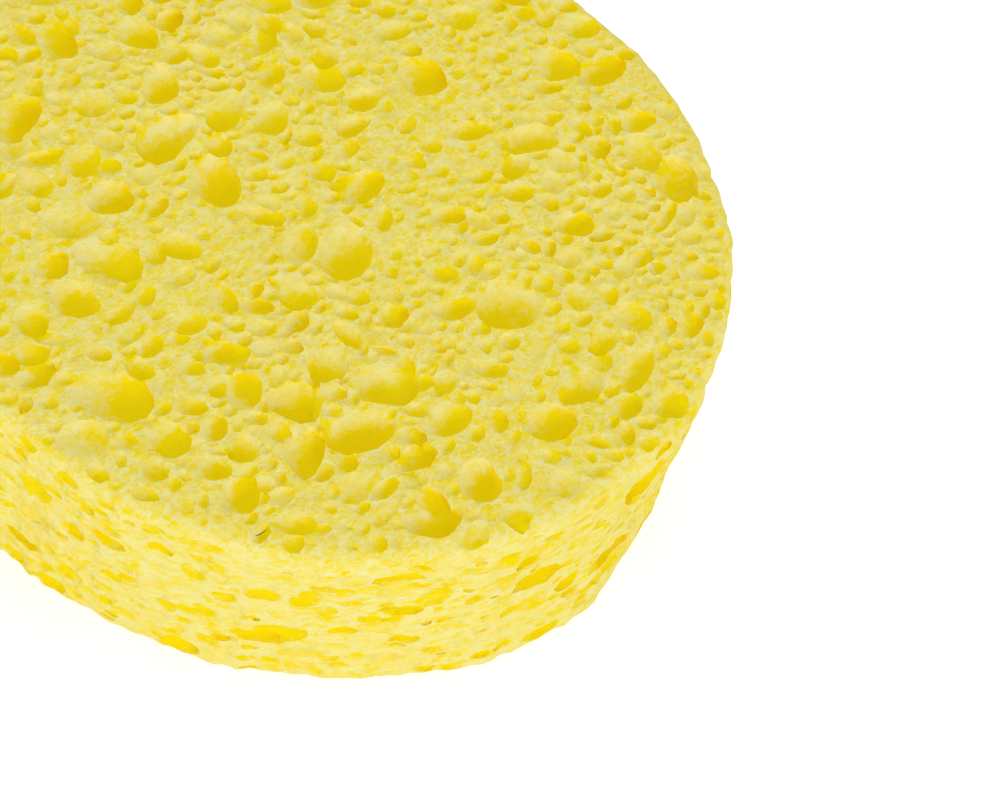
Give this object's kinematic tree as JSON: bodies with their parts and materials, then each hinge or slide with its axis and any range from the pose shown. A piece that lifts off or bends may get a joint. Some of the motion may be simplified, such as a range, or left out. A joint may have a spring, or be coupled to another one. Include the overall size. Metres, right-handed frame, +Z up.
{
  "type": "bath sponge",
  "caption": "Flat figure-eight bath sponge of yellow open-celled cellulose foam, with deep oval pores on both faces and low slits along its side wall.",
  "frame": {"origin": "centre of the bounding box's base, on the flat underside at the waist between the two lobes", "axes": "+X along the length through both lobes, +Y across the lobes, +Z up through the thickness"},
  "size_m": [0.152, 0.1, 0.03],
  "materials": {
    "sponge_foam": "matt, dry, porous cellulose foam"
  },
  "bodies": {
    "root": {"sponge": "sponge_foam"}
  },
  "joints": []
}
